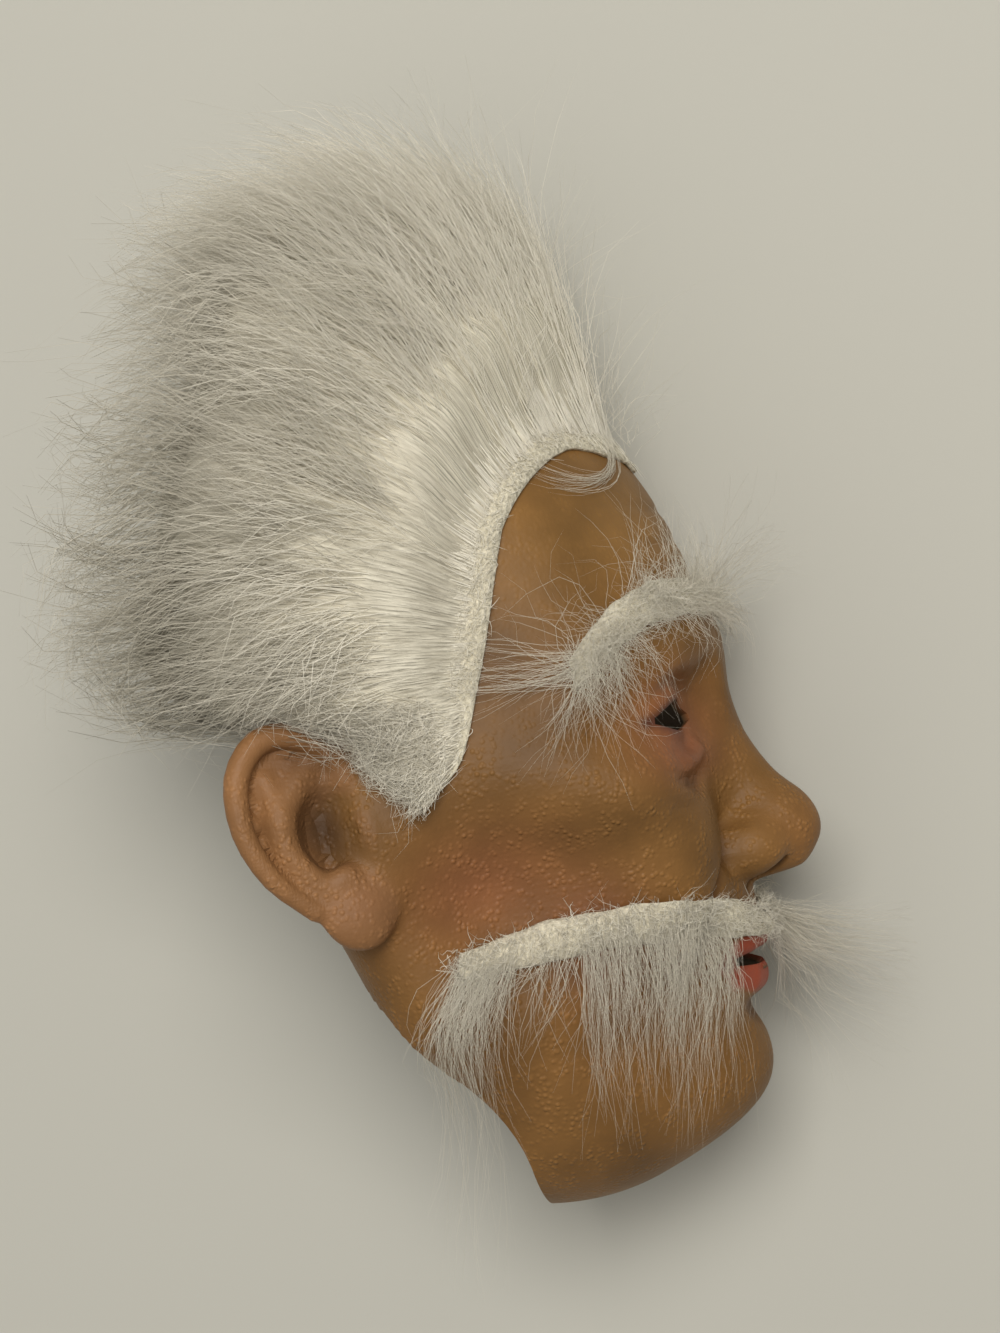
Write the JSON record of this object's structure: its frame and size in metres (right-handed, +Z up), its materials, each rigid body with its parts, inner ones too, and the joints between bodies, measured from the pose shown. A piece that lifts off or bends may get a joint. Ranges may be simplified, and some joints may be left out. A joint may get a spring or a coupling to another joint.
{
  "type": "old man face mask",
  "caption": "Full-face costume mask of a calm old man with ears, swept-back white hair, brows and a drooping moustache, open at the back and lying on its left side.",
  "frame": {"origin": "on the surface that the mask lies on, under the middle of its box", "axes": "+Y up the face towards the hair, +X forward out of the face past the nose, +Z up, towards the wearer's right cheek"},
  "size_m": [0.2108, 0.3194, 0.1653],
  "materials": {
    "latex": "satin painted latex, finely stippled",
    "pile": "long white pile on a knitted backing"
  },
  "bodies": {
    "root": {"latex_face": "latex", "hairpiece": "pile", "brow_right": "pile", "brow_left": "pile", "moustache_right": "pile", "moustache_left": "pile"}
  },
  "joints": []
}
